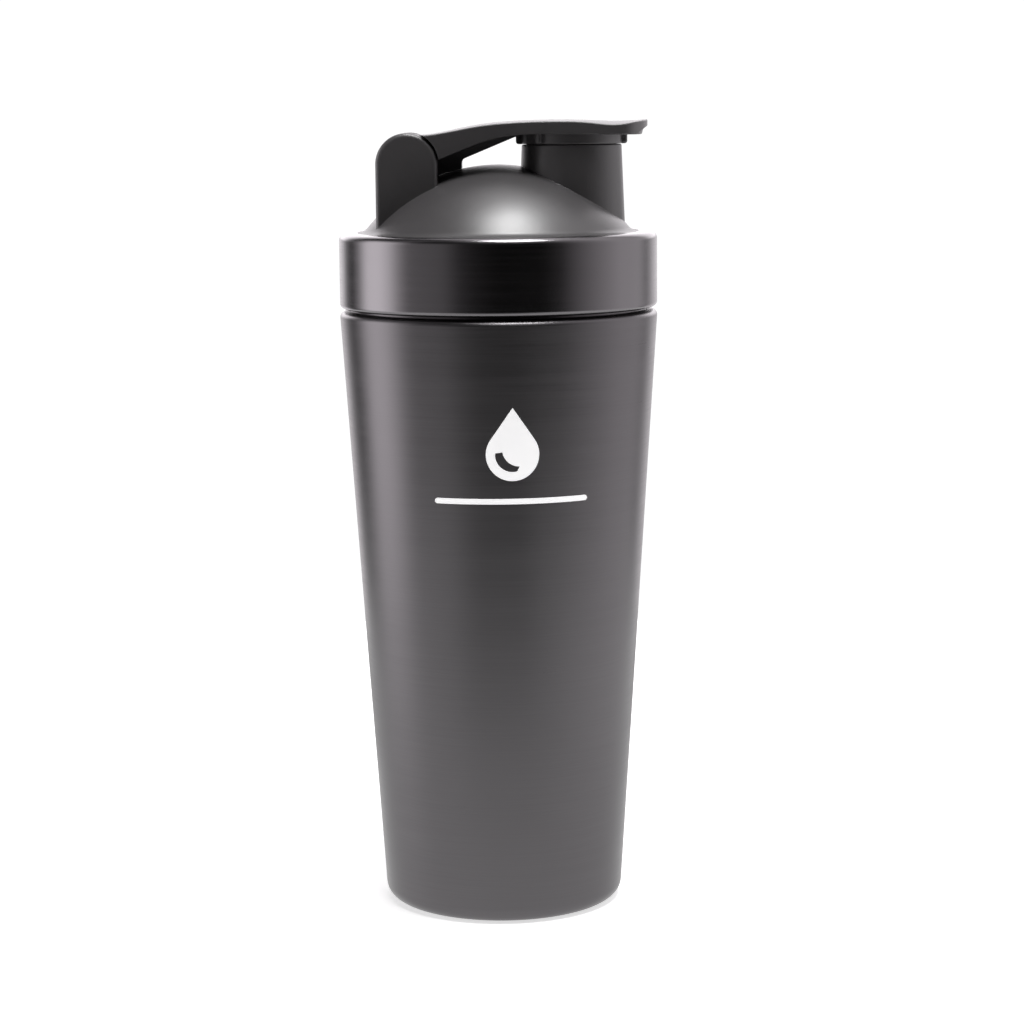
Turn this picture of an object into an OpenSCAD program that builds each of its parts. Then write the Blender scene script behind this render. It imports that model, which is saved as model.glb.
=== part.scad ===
// Protein shaker bottle, closed and standing: a double-wall steel cup with a threaded neck,
// a screw lid with a steel band, a flip cap over a round spout, and a loose wire mixing ball.
// Millimetres, +Z up, origin at the middle of the foot, spout towards +X, hinge towards -X.

/* [Cup] */
// Outer radius at the shoulder, and of the lid band above it
cup_top_r = 47; // [46.6:0.1:47.4]
// Outer radius just above the rounded foot
cup_base_r = 35.8; // [34:0.1:37]
// Height of the shoulder's widest line
shoulder_z = 176.3; // [174:0.1:176.5]
// Radius of the rounded edge at the foot
foot_edge_r = 4.6; // [3:0.1:6]
// Rounding of the shoulder
shoulder_edge_r = 1.5; // [1:0.1:2]
// Steel sheet thickness
sheet_t = 0.5; // [0.4:0.05:0.6]
// Empty gap between the two walls
wall_gap = 3.6; // [3.2:0.1:4]
// Height of the cup's floor inside
floor_z = 9; // [8:0.5:14]
// Depth of the recess under the foot
foot_recess = 2; // [1.5:0.1:3]

/* [Neck and thread] */
// Outer radius of the neck
neck_r = 43.4; // [43.3:0.05:43.5]
// Height of the drinking rim
rim_z = 197; // [196.5:0.1:197.2]
// Rise of the lid in one turn
thread_lead = 4; // [3.8:0.1:4.2]
// Height of a thread ridge
thread_h = 0.9; // [0.7:0.05:0.9]
// Number of turns on the neck
neck_turns = 1; // [0.8:0.05:1.1]
// Number of turns inside the lid
lid_turns = 0.75; // [0.6:0.05:0.8]

/* [Lid] */
// Height of the band's lower edge
band_z = 178.9; // [178.6:0.1:180.5]
// Height of the band's flat shelf
shelf_z = 201; // [200.8:0.1:201.2]
// Rounding of the band's upper edge
band_edge_r = 2.2; // [1.5:0.1:2.5]
// Rounding of the hem at the band's lower edge
hem_r = 1.5; // [1.2:0.1:1.6]
// Radius of the dome's sphere
dome_r = 49.8; // [49:0.1:50.5]
// Height of the dome's top
dome_top_z = 220.6; // [220.4:0.1:220.8]
// Radius of the hollow curve round the dome's foot
dome_foot_r = 3.5; // [3:0.1:4]
// Thickness of the plastic
lid_t = 2; // [1.6:0.1:2.2]

/* [Spout] */
// Distance of the spout from the middle of the lid
spout_x = 21.9; // [21.5:0.1:22.3]
// Outer radius of the spout at its shoulder
spout_r = 14.7; // [14.6:0.05:14.8]
// Growth of the spout's radius in each millimetre down
spout_draft = 0.04; // [0:0.01:0.05]
// Radius of the spout's bore
spout_bore_r = 12.1; // [12:0.05:12.2]
// Height of the shoulder that the cap's collar comes down to
spout_shoulder_z = 226.3; // [226:0.1:226.4]
// Height of the spout's rim
spout_rim_z = 228; // [227.8:0.1:228]

/* [Hinge] */
// Hinge line, measured along X from the middle
hinge_x = -26.3; // [-26.5:0.1:-26.1]
// Height of the hinge line
hinge_z = 221.1; // [221:0.1:221.3]
// Radius of the rounded ears
ear_r = 9; // [8.8:0.05:9]
// Thickness of one ear
ear_t = 5; // [4.5:0.1:5.5]
// Width over both ears, and of the flip cap
cap_w = 32; // [30:0.5:33]
// Radius of the hinge pin
pin_r = 1.5; // [1.2:0.1:1.8]

/* [Mixing ball] */
// Radius of the ball, to the middle of its wire
ball_r = 22; // [20:0.5:23]
// Radius of the wire
wire_r = 1.1; // [0.9:0.1:1.2]
// Turns of wire from the bottom to the top
ball_turns = 7; // [6:1:7]

/* [Print] */
// Height of the middle of the printed drop
mark_z = 142; // [120:1:150]
// Turn of the print about the cup's axis, in degrees
mark_turn = 4.8; // [0:0.1:360]
// Length of the printed line below the drop
mark_line_w = 42; // [20:1:50]

/* [Hidden] */
$fn = 96;

coated_steel = [0.23, 0.22, 0.23];
bare_steel = [0.72, 0.72, 0.73];
black_plastic = [0.2, 0.2, 0.2];
silicone = [0.12, 0.12, 0.12];
white_ink = [0.95, 0.95, 0.95];

arc_steps = 12;
touch_gap = 0.05;                   // between pieces that are fixed to each other
slip_gap = 0.15;                    // between round pieces that turn or slide on one another
clear_gap = 0.3;                    // between pieces that move apart

// Cup
cup_slope = (cup_top_r - cup_base_r) / (shoulder_z - foot_edge_r);
cup_lean = atan(cup_slope);
foot_flat_r = cup_base_r - foot_edge_r * cos(cup_lean);
foot_flat_w = 0.8;
foot_curl_r = 1.8;
foot_curl_h = 5;                    // height of the rolled-in edge that holds the base plate
plate_edge_r = foot_flat_r - foot_flat_w - foot_curl_r;
neck_fillet_r = 0.6;
liner_r_drop = 2 * sheet_t + wall_gap;   // outer radius of the cup less the liner's inner radius
liner_edge_r = 7;
liner_neck_r = neck_r - 2 * sheet_t - touch_gap;
seal_head_r = 4;
seal_head_t = 0.8;
seal_stem_r = 1.2;

// Lid
band_in_r = cup_top_r - sheet_t;
dome_z = dome_top_z - dome_r;            // centre of the dome's sphere
foot_r = sqrt(pow(dome_r + dome_foot_r, 2) - pow(shelf_z + dome_foot_r - dome_z, 2));
foot_a = atan2(shelf_z + dome_foot_r - dome_z, foot_r);
flange_top_z = shelf_z - sheet_t - slip_gap;
flange_edge_r = band_edge_r - sheet_t - slip_gap;
flange_z = rim_z + 1.4;
skirt_out_r = band_in_r - slip_gap;
skirt_in_r = neck_r + thread_h + 0.4;
skirt_z = band_z + 2 * hem_r;
locating_r = liner_neck_r - 0.8;
locating_t = 1.6;
locating_z = rim_z - 3;
gasket_z = rim_z + 0.1;
gasket_h = flange_z - gasket_z - 0.1;

// Thread: the middle line of a ridge stands at ridge_z where its angle is 0
neck_ridge_z = 184.2;
lid_ridge_z = neck_ridge_z - thread_lead / 2;
lid_ridge_start = 90;
ridge_root_w = 2;
ridge_crest_w = 1;
ridge_sink = 0.25;                       // how far a ridge's root is let into its wall
ridge_step = 7.5;

// Spout and flip cap
rim_r = spout_r - 1.6;
collar_in_r = rim_r + 0.6;
collar_r = spout_r;
collar_z = spout_shoulder_z + slip_gap;
collar_top_z = 230.5;                    // inside the arm's thickness
lug_r = 16.4;
lug_w = 2;
lug_angles = [0, 129, 180, 231];
seal_t = 0.8;
seal_z = spout_rim_z + 0.2;
plug_r = spout_bore_r - 0.8;
plug_h = 3;
ear_in_y = cap_w / 2 - ear_t;
knuckle_w = 2 * (ear_in_y - clear_gap);
knuckle_r = 6.3;
knuckle_top_z = 229.5;
knuckle_top_r = knuckle_top_z - hinge_z;
knuckle_back_a = 120;
ear_clear_r = ear_r + 0.5;
pin_len = cap_w - 2;
pin_y = -cap_w / 2 + 2;                  // the front ear hides this end
pin_fit = 0.06;
cap_skin_t = 2.4;
cap_rib_t = 2.2;
web_w = 12;
web_x = -10.4;
web_low_z = 214;                         // below the dome's surface, which trims the web
pocket_x0 = -17;
pocket_x1 = 7;
tip_x = 44.2;
tip_l = 8.2;                             // length of the tip's rounding, seen from above

function unit(v) = v / norm(v);
function left(v) = [-v[1], v[0]];
function flip(list) = [for (i = [len(list) - 1:-1:0]) list[i]];

// Points on an arc from angle a0 to a1 about [cx, cy]
function arc(cx, cy, r, a0, a1, steps = arc_steps) =
    [for (i = [0:steps]) let (a = a0 + (a1 - a0) * i / steps) [cx + r * cos(a), cy + r * sin(a)]];

// Points on a cubic curve with end points a and d and handles b and c
function curve(a, b, c, d, steps = arc_steps) =
    [for (i = [0:steps]) let (t = i / steps, s = 1 - t)
        a * s * s * s + b * 3 * s * s * t + c * 3 * s * t * t + d * t * t * t];

// The path moved sideways by t, to its left
function beside(path, t) =
    [for (i = [0:len(path) - 1])
        let (a = i > 0 ? unit(path[i] - path[i - 1]) : unit(path[1] - path[0]),
             b = i < len(path) - 1 ? unit(path[i + 1] - path[i]) : a,
             n = left(unit(a + b)))
        path[i] + n * t / (n * left(a))];

// Outer radius of the cup's cone at a height
function cup_r(z) = cup_base_r + cup_slope * (z - foot_edge_r);

// Sheet metal turned about Z: one face follows the path, the other lies t to its left
module spun_sheet(path, t) {
    rotate_extrude() polygon(concat(path, flip(beside(path, t))));
}

module ring(r_in, r_out, z, h) {
    translate([0, 0, z]) difference() {
        cylinder(r = r_out, h = h);
        translate([0, 0, -1]) cylinder(r = r_in, h = h + 2);
    }
}

// A helical ridge that fades in and out at its ends. side is 1 outside a wall and -1 inside one.
module thread_ridge(wall_r, side, mid_z, start, turns) {
    steps = ceil(turns * 360 / ridge_step);
    fade = 4;
    points = [for (i = [0:steps])
        let (a = start + i * ridge_step,
             z = mid_z + thread_lead * a / 360,
             f = max(0.1, min(1, i / fade, (steps - i) / fade)),
             root = wall_r - side * ridge_sink,
             crest = wall_r + side * thread_h * f)
        each [for (p = [[root, -ridge_root_w / 2], [crest, -ridge_crest_w * f / 2],
                        [crest, ridge_crest_w * f / 2], [root, ridge_root_w / 2]])
            [p[0] * cos(a), p[0] * sin(a), z + p[1]]]];
    swept(points, 4, steps, side);
}

// Skin over rings of points, closed at both ends. side turns the faces outwards.
module swept(points, sides, steps, side) {
    walls = [for (i = [0:steps - 1], k = [0:sides - 1])
        let (a = i * sides + k, b = i * sides + (k + 1) % sides)
        each [[a, b, b + sides], [a, b + sides, a + sides]]];
    ends = [[for (k = [sides - 1:-1:0]) k], [for (k = [0:sides - 1]) steps * sides + k]];
    faces = concat(walls, ends);
    polyhedron(points, side > 0 ? faces : [for (f = faces) flip(f)], convexity = 8);
}

// Outer wall of the cup: rolled foot, straight cone, shoulder and threaded neck
module outer_cup() {
    path = concat(
        [[plate_edge_r, foot_curl_h]],
        arc(plate_edge_r + foot_curl_r, foot_curl_r, foot_curl_r, 180, 270),
        arc(foot_flat_r, foot_edge_r, foot_edge_r, 270, 360 - cup_lean),
        arc(cup_top_r - shoulder_edge_r, shoulder_z, shoulder_edge_r, -cup_lean, 90),
        arc(neck_r + neck_fillet_r, shoulder_z + shoulder_edge_r + neck_fillet_r,
            neck_fillet_r, 270, 180, 6),
        [[neck_r, rim_z - sheet_t]]);
    color(coated_steel) union() {
        spun_sheet(path, sheet_t);
        thread_ridge(neck_r, 1, neck_ridge_z, 0, neck_turns);
    }
}

// Inner wall of the cup: floor, cone, and the rim turned out over the neck's edge
module inner_liner() {
    path = concat(
        [[0, floor_z]],
        arc(cup_r(floor_z + liner_edge_r) - liner_r_drop - liner_edge_r, floor_z + liner_edge_r,
            liner_edge_r, 270, 360 - cup_lean),
        [[cup_top_r - liner_r_drop, shoulder_z], [liner_neck_r, shoulder_z + 4]],
        arc(liner_neck_r + sheet_t, rim_z - sheet_t, sheet_t, 180, 90, 6),
        [[neck_r, rim_z]]);
    color(bare_steel) spun_sheet(path, -sheet_t);
}

// Pressed disc that closes the foot, welded inside the rolled edge
module base_plate() {
    edge_r = plate_edge_r - touch_gap;
    bend_r = 1.2;
    path = concat(
        [[seal_stem_r, foot_recess]],
        arc(edge_r - bend_r, foot_recess + bend_r, bend_r, 270, 360),
        [[edge_r, foot_curl_h]]);
    color(coated_steel) spun_sheet(path, sheet_t);
}

// Plug in the hole through which the air between the walls was drawn out
module vacuum_seal() {
    color(bare_steel) union() {
        translate([0, 0, foot_recess - seal_head_t]) cylinder(r = seal_head_r, h = seal_head_t);
        translate([0, 0, foot_recess - seal_head_t / 2])
            cylinder(r = seal_stem_r - touch_gap, h = sheet_t + seal_head_t);
    }
}

// Plain drop with a crescent let into it, above a plain line
module mark_outline() {
    drop_r = 7.6;
    drop_h = 21;
    tip_y = drop_h - drop_r;
    side_a = 90 - acos(drop_r / tip_y);
    crescent_r = 5;
    line_r = 0.8;
    line_y = -13.5;
    difference() {
        polygon(concat([[0, tip_y]], arc(0, 0, drop_r, side_a, -180 - side_a, 32)));
        polygon(concat(arc(0, 0, crescent_r, 175, 285), arc(2, 1.6, crescent_r, 270, 190)));
    }
    polygon(concat(arc(mark_line_w / 2, line_y, line_r, -90, 90, 8),
                   arc(-mark_line_w / 2, line_y, line_r, 90, 270, 8)));
}

module printed_mark() {
    ink_t = 0.08;
    low_z = mark_z - 20;
    h = 40;
    low_r = cup_r(low_z) + touch_gap;
    high_r = cup_r(low_z + h) + touch_gap;
    color(white_ink) rotate(mark_turn) intersection() {
        translate([0, 0, mark_z - 2]) rotate([90, 0, 0])
            translate([0, 0, cup_base_r * 0.8]) linear_extrude(cup_top_r) mark_outline();
        translate([0, 0, low_z]) difference() {
            cylinder(r1 = low_r + ink_t, r2 = high_r + ink_t, h = h);
            cylinder(r1 = low_r, r2 = high_r, h = h);
        }
    }
}

// Seal between the cup's rim and the lid
module lid_gasket() {
    color(silicone) ring(locating_r + slip_gap, skirt_in_r - 0.5, gasket_z, gasket_h);
}

// Steel band: shelf round the dome, rounded edge, straight side and rolled hem
module lid_band() {
    path = concat(
        arc(cup_top_r - hem_r, band_z + hem_r, hem_r, 230, 360),
        arc(cup_top_r - band_edge_r, shelf_z - band_edge_r, band_edge_r, 0, 90),
        [[foot_r + slip_gap, shelf_z]]);
    color(coated_steel) spun_sheet(path, sheet_t);
}

// Outer shape of a hinge ear, between two distances along Y
module ear(y0, y1) {
    translate([hinge_x, y1, hinge_z]) rotate([90, 0, 0]) cylinder(r = ear_r, h = y1 - y0);
    translate([hinge_x - ear_r, y0, shelf_z]) cube([2 * ear_r, y1 - y0, hinge_z - shelf_z]);
}

module spout_wall() {
    h = spout_shoulder_z - shelf_z;
    translate([spout_x, 0, shelf_z]) {
        cylinder(r1 = spout_r + spout_draft * h, r2 = spout_r, h = h);
        cylinder(r = rim_r, h = spout_rim_z - shelf_z);
    }
}

module cylinder_y(r, y0, y1) {
    translate([hinge_x, y1, hinge_z]) rotate([90, 0, 0]) cylinder(r = r, h = y1 - y0);
}

// Plastic lid in one moulding: dome, spout, hinge ears and threaded skirt
module lid_dome() {
    dome_in_r = dome_r - lid_t;
    flange_a = asin((flange_z - dome_z) / dome_in_r);
    outline = concat(
        [[0, dome_top_z]],
        arc(0, dome_z, dome_r, 90, foot_a, 24),
        arc(foot_r, shelf_z + dome_foot_r, dome_foot_r, 180 + foot_a, 270, 8),
        [[foot_r, flange_top_z]],
        arc(skirt_out_r - flange_edge_r, flange_top_z - flange_edge_r, flange_edge_r, 90, 0, 8),
        [[skirt_out_r, skirt_z], [skirt_in_r, skirt_z], [skirt_in_r, flange_z], [locating_r, flange_z],
         [locating_r, locating_z], [locating_r - locating_t, locating_z],
         [locating_r - locating_t, flange_z]],
        arc(0, dome_z, dome_in_r, flange_a, 90, 24));
    color(black_plastic) difference() {
        union() {
            rotate_extrude() polygon(outline);
            difference() {
                union() {
                    ear(-cap_w / 2, -ear_in_y);
                    ear(ear_in_y, cap_w / 2);
                    spout_wall();
                }
                translate([0, 0, dome_z]) sphere(r = dome_r - lid_t / 2);
            }
            thread_ridge(skirt_in_r, -1, lid_ridge_z, lid_ridge_start, lid_turns);
        }
        translate([spout_x, 0, shelf_z]) cylinder(r = spout_bore_r, h = cap_w);
        cylinder_y(pin_r, pin_y, cap_w);
    }
}

// Steel pin, pushed in from the rear ear
module hinge_pin() {
    color(bare_steel) cylinder_y(pin_r, pin_y, pin_y + pin_len - 0.5);
}

// Upper line of the flip cap, from the hinge to the thumb tip, lowered by drop
function cap_top(drop) = [for (p = concat(
    [[hinge_x, knuckle_top_z]],
    curve([-24, knuckle_top_z], [-17, 229.2], [-10, 232.6], [3, 233.2]),
    curve([3, 233.2], [12, 233.8], [22, 233.7], [34, 233.1]),
    curve([34, 233.1], [38, 233.1], [41, 233.2], [tip_x, 233.5], 6))) p - [0, drop]];

// Side of the flip cap: the upper line, the undercut tip and the lower edge of its ribs
module cap_side() {
    polygon(concat(
        cap_top(0),
        [[tip_x - 0.3, 232.2], [tip_x - 2, 229.3]],
        curve([12, 229.5], [-2, 229.4], [-6, 226.6], [-17.2, 222.3]),
        [[hinge_x, 220]]));
}

// Flip cap seen from above: straight sides and a curved tip
module cap_plan() {
    tip = [for (p = arc(0, 0, 1, -90, 90, 24)) [tip_x - tip_l + tip_l * p[0], cap_w / 2 * p[1]]];
    polygon(concat(tip, [[hinge_x - ear_r, cap_w / 2], [hinge_x - ear_r, -cap_w / 2]]));
}

// Middle web under the flip cap, which fills the space behind the window
module cap_web() {
    polygon(concat(
        [[hinge_x, hinge_z], [-22.5, web_low_z], [web_x, web_low_z]],
        arc(web_x + 1.5, 221.2, 1.5, 180, 110, 6),
        [[4.7, 228.4], [12, 231], [-4, 231], [-20, 227.5]]));
}

module along_y(w) {
    translate([0, w / 2, 0]) rotate([90, 0, 0]) linear_extrude(w) children();
}

// Barrel round the pin. Its top is fuller than its underside, which clears the dome.
module knuckle() {
    cylinder_y(knuckle_r, -knuckle_w / 2, knuckle_w / 2);
    along_y(knuckle_w) translate([hinge_x, hinge_z]) intersection() {
        circle(r = knuckle_top_r);
        polygon([[0, 0], [knuckle_top_r * 2, 0], [knuckle_top_r * 2, knuckle_top_r * 2],
                 knuckle_top_r * 2 * [cos(knuckle_back_a), sin(knuckle_back_a)]]);
    }
}

// Ring that comes down over the spout's rim, with its lugs
module collar() {
    translate([spout_x, 0, 0]) {
        difference() {
            translate([0, 0, collar_z]) cylinder(r = collar_r, h = collar_top_z - collar_z);
            translate([0, 0, collar_z - 1])
                cylinder(r = collar_in_r, h = seal_z + seal_t + 1 - collar_z);
        }
        for (a = lug_angles) rotate(a) translate([collar_in_r + 0.3, -lug_w / 2, collar_z])
            cube([lug_r - collar_in_r - 0.3, lug_w, collar_top_z - 0.3 - collar_z]);
    }
}

// Plastic flip cap: arched arm with side ribs, web, hinge barrel and spout collar
module flip_cap() {
    pocket_w = cap_w / 2 - cap_rib_t - web_w / 2;
    color(black_plastic) difference() {
        union() {
            difference() {
                intersection() {
                    along_y(cap_w) cap_side();
                    translate([0, 0, shelf_z]) linear_extrude(cap_w + 2) cap_plan();
                }
                for (side = [-1, 1]) translate([0, side * (web_w + pocket_w) / 2, 0])
                    along_y(pocket_w) polygon(concat(
                        [for (p = cap_top(cap_skin_t)) if (p[0] > pocket_x0 && p[0] < pocket_x1) p],
                        [[pocket_x1, web_low_z], [pocket_x0, web_low_z]]));
            }
            along_y(web_w) cap_web();
            knuckle();
            collar();
        }
        for (y = [-cap_w / 2 - 1, knuckle_w / 2])
            cylinder_y(ear_clear_r, y, y + cap_w / 2 + 1 - knuckle_w / 2);
        translate([0, 0, dome_z]) sphere(r = dome_r + 0.45);
        cylinder_y(pin_r + pin_fit, -cap_w, cap_w);
    }
}

// Soft disc and plug in the cap, which close the spout
module spout_seal() {
    color(silicone) translate([spout_x, 0, 0]) {
        translate([0, 0, seal_z]) cylinder(r = collar_in_r - touch_gap, h = seal_t);
        translate([0, 0, spout_rim_z - plug_h]) cylinder(r = plug_r, h = plug_h + seal_t);
    }
}

// One round wire wound from pole to pole of a sphere
module mixing_ball() {
    steps = ball_turns * 28;
    sides = 6;
    pole_a = 80;
    mid = [0, 0, floor_z + clear_gap + ball_r + wire_r];
    path = [for (i = [0:steps])
        let (lat = -pole_a + 2 * pole_a * i / steps, turn = 360 * ball_turns * i / steps)
        ball_r * [cos(lat) * cos(turn), cos(lat) * sin(turn), sin(lat)]];
    points = [for (i = [0:steps])
        let (along = unit(path[min(i + 1, steps)] - path[max(i - 1, 0)]),
             out = unit(path[i]),
             across = unit(cross(along, out)),
             up = cross(across, along))
        each [for (k = [0:sides - 1])
            mid + path[i] + wire_r * (up * cos(360 * k / sides) + across * sin(360 * k / sides))]];
    color(bare_steel) swept(points, sides, steps, 1);
}

outer_cup();
inner_liner();
base_plate();
vacuum_seal();
printed_mark();
lid_gasket();
lid_band();
lid_dome();
hinge_pin();
flip_cap();
spout_seal();
mixing_ball();
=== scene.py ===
import math

import bpy
from mathutils import Matrix, Vector


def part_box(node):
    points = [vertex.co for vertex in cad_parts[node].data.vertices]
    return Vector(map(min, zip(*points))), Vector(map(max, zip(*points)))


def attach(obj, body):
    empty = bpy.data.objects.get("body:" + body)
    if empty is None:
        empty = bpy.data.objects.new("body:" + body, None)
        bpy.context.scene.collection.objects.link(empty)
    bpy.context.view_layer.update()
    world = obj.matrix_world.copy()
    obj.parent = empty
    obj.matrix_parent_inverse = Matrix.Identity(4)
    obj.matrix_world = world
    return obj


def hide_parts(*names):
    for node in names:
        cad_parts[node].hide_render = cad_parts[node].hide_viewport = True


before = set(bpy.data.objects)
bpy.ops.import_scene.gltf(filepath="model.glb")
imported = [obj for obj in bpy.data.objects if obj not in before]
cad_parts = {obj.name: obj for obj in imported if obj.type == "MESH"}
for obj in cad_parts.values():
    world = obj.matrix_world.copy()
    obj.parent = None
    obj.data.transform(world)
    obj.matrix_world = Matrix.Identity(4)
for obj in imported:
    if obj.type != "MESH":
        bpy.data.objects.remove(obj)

bl_info = {
    "name": "Shaker Bottle",
    "version": (1, 0, 0),
    "blender": (4, 5, 0),
    "location": "3D View > Sidebar > Shaker",
    "description": "Models the steel cup, the screw lid and the flip cap of a shaker bottle round its frame",
    "category": "Object",
}

MM = 0.001
ROUND_STEPS = 192                      # faces round the cup, the band and the lid
SMALL_STEPS = 96                       # faces round the spout, the pin and the seal
WIRE_STEPS = 56                        # lengths of wire in one turn of the mixing ball
FLOOR_STEPS = 128                      # sides of the pale floor
SMOOTH_ANGLE = math.radians(32)
LUG_ANGLES = (0, 129, 180, 231)        # places of the lugs round the collar, in degrees
ARM_CUTS = (3, 6, 9, 11, 13, 14.2)     # cuts along the arm, in millimetres from its middle
SENSOR_WIDTH = 36
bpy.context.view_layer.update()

CUP, LINER, PLATE, BAND, LID, GASKET, PIN, CAP, SEAL, BALL = (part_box(name) for name in (
    "outer_cup", "inner_liner", "base_plate", "lid_band", "lid_dome",
    "lid_gasket", "hinge_pin", "flip_cap", "spout_seal", "mixing_ball"))
HINGE = (PIN[0] + PIN[1]) / 2
SPOUT = (SEAL[0] + SEAL[1]) / 2
CENTRE_LINE = Vector((0, 0, 0))


# Settings a user would change

def number(name, description, default, **more):
    """A property that holds one number."""
    return bpy.props.FloatProperty(name=name, description=description, default=default, **more)


def length(name, description, default):
    """A length property in metres, with its default given in millimetres."""
    return number(name, description, default * MM, unit="LENGTH", precision=5)


def colour(name, description, default):
    """A colour property with three linear channels."""
    return bpy.props.FloatVectorProperty(name=name, description=description, default=default,
                                         subtype="COLOR", size=3, min=0, max=1)


def share(name, description, default):
    """A property from 0 to 1, such as a roughness."""
    return number(name, description, default, subtype="FACTOR", min=0, max=1)


class ShakerCupSizes(bpy.types.PropertyGroup):
    """Sizes of the double-wall cup."""

    sheet: length("Sheet", "Thickness of the steel sheet", 0.5)
    wall_gap: length("Wall gap", "Empty space between the two walls", 3.6)
    base_radius: length("Base radius", "Outer radius just above the rounded foot", 35.8)
    foot_edge: length("Foot edge", "Radius of the rounded edge at the foot", 4.6)
    foot_curl: length("Foot curl", "Radius of the edge rolled in under the foot", 1.8)
    foot_flat: length("Foot flat", "Width of the ring that the cup stands on", 0.8)
    shoulder_height: length("Shoulder height", "Height of the cup's widest line", 176.3)
    shoulder_edge: length("Shoulder edge", "Rounding of the shoulder", 1.5)
    neck_fillet: length("Neck fillet", "Rounding between the shoulder and the neck", 0.6)
    floor_edge: length("Floor edge", "Rounding between the floor and the wall inside", 7)
    thread_lead: length("Thread lead", "Rise of the lid in one turn", 4)
    thread_height: length("Thread height", "How far a thread ridge stands out", 0.9)
    thread_root: length("Thread root", "Width of a thread ridge at its wall", 2)
    thread_crest: length("Thread crest", "Width of a thread ridge at its crest", 1)
    neck_thread_height: length("Neck thread", "Height at which the middle of the neck's ridge starts", 184.2)


class ShakerLidSizes(bpy.types.PropertyGroup):
    """Sizes of the lid, its band and its spout."""

    band_edge: length("Band edge", "Rounding of the band's upper edge", 2.2)
    hem: length("Hem", "Rounding of the hem at the band's lower edge", 1.5)
    dome_radius: length("Dome radius", "Radius of the dome's sphere", 49.8)
    dome_top: length("Dome top", "Height of the dome's top", 220.6)
    dome_foot: length("Dome foot", "Radius of the hollow curve round the dome's foot", 3.5)
    plastic: length("Plastic", "Thickness of the moulded plastic", 2)
    slip: length("Slip gap", "Gap between round pieces that turn on one another", 0.15)
    spout_radius: length("Spout radius", "Outer radius of the spout at its shoulder", 14.7)
    spout_lip: length("Spout lip", "Outer radius of the spout's rim", 13.1)
    spout_bore: length("Spout bore", "Radius of the spout's bore", 12.1)
    spout_shoulder: length("Spout shoulder", "Height of the spout's shoulder", 226.3)
    spout_rim: length("Spout rim", "Height of the spout's rim", 228)
    spout_growth: share("Spout growth", "Growth of the spout's radius for its length downwards", 0.04)
    ear_thickness: length("Ear thickness", "Thickness of one hinge ear", 5)
    ear_edge: length("Ear edge", "Rounding of the rim of a hinge ear", 1.3)


class ShakerCapSizes(bpy.types.PropertyGroup):
    """Sizes of the flip cap."""

    edge: length("Edge", "Rounding of the arm's upper edges", 0.35)
    crown: length("Crown", "How far the arm's edges lie below its middle", 0.5)
    sink: length("Sink", "How much lower still the edges lie before the tip", 0.6)
    sink_place: length("Sink place", "Distance along X at which the edges lie lowest", 33)
    sink_reach: length("Sink reach", "How far the sunk part of the edges runs each way", 6)
    skin: length("Skin", "Thickness of the arm above its pockets", 2.4)
    rib: length("Rib", "Thickness of the ribs along the arm's sides", 2.2)
    web: length("Web", "Width of the web in the middle", 12)
    tip_length: length("Tip length", "Length of the tip's rounding seen from above", 8.2)
    lip_half: length("Lip half width", "Half width of the lip under the tip", 14)
    lip_inset: length("Lip inset", "How far the lip under the tip stands back", 0.9)
    lip_length: length("Lip length", "Length of the lip's rounding seen from above", 4)
    lip_lean: length("Lip lean", "How far the lip's lower edge stands back from its upper one", 0.8)
    knuckle: length("Knuckle", "Radius of the hinge barrel's underside", 6.3)
    knuckle_top: length("Knuckle top", "Radius of the hinge barrel's upper side", 8.4)
    side_gap: length("Side gap", "Gap between the hinge barrel and an ear", 0.3)
    collar: length("Collar", "Outer radius of the collar", 14.7)
    collar_bore: length("Collar bore", "Inner radius of the collar", 13.7)
    collar_low: length("Collar edge height", "Height of the collar's lower edge", 226.45)
    collar_high: length("Collar top height", "Height of the collar's top, inside the arm", 230.5)
    lug: length("Lug", "Distance of a lug's end from the collar's axis", 16.4)
    lug_width: length("Lug width", "Width of a lug", 2)
    wire: length("Wire", "Radius of the mixing ball's wire", 1.1)
    ball_turns: bpy.props.IntProperty(name="Ball turns", description="Turns of wire in the mixing ball",
                                      default=7, min=3, max=9)


class ShakerFinishes(bpy.types.PropertyGroup):
    """Colours and gloss of the materials."""

    coat: colour("Coat", "Dark coating on the brushed cup", (0.155, 0.148, 0.154))
    band_coat: colour("Band coat", "The same coating on the polished band", (0.205, 0.196, 0.204))
    steel: colour("Steel", "Bare steel", (0.60, 0.60, 0.61))
    plastic: colour("Plastic", "Moulded black plastic", (0.060, 0.057, 0.0588))
    silicone: colour("Silicone", "Soft black seals", (0.022, 0.022, 0.023))
    ink: colour("Ink", "Printed ink", (0.94, 0.94, 0.94))
    floor: colour("Floor", "Pale floor", (0.90, 0.90, 0.90))
    cup_roughness: share("Cup roughness", "Roughness of the brushed cup", 0.33)
    band_roughness: share("Band roughness", "Roughness of the glossier band", 0.22)
    plastic_roughness: share("Plastic roughness", "Roughness of the plastic", 0.38)


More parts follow.
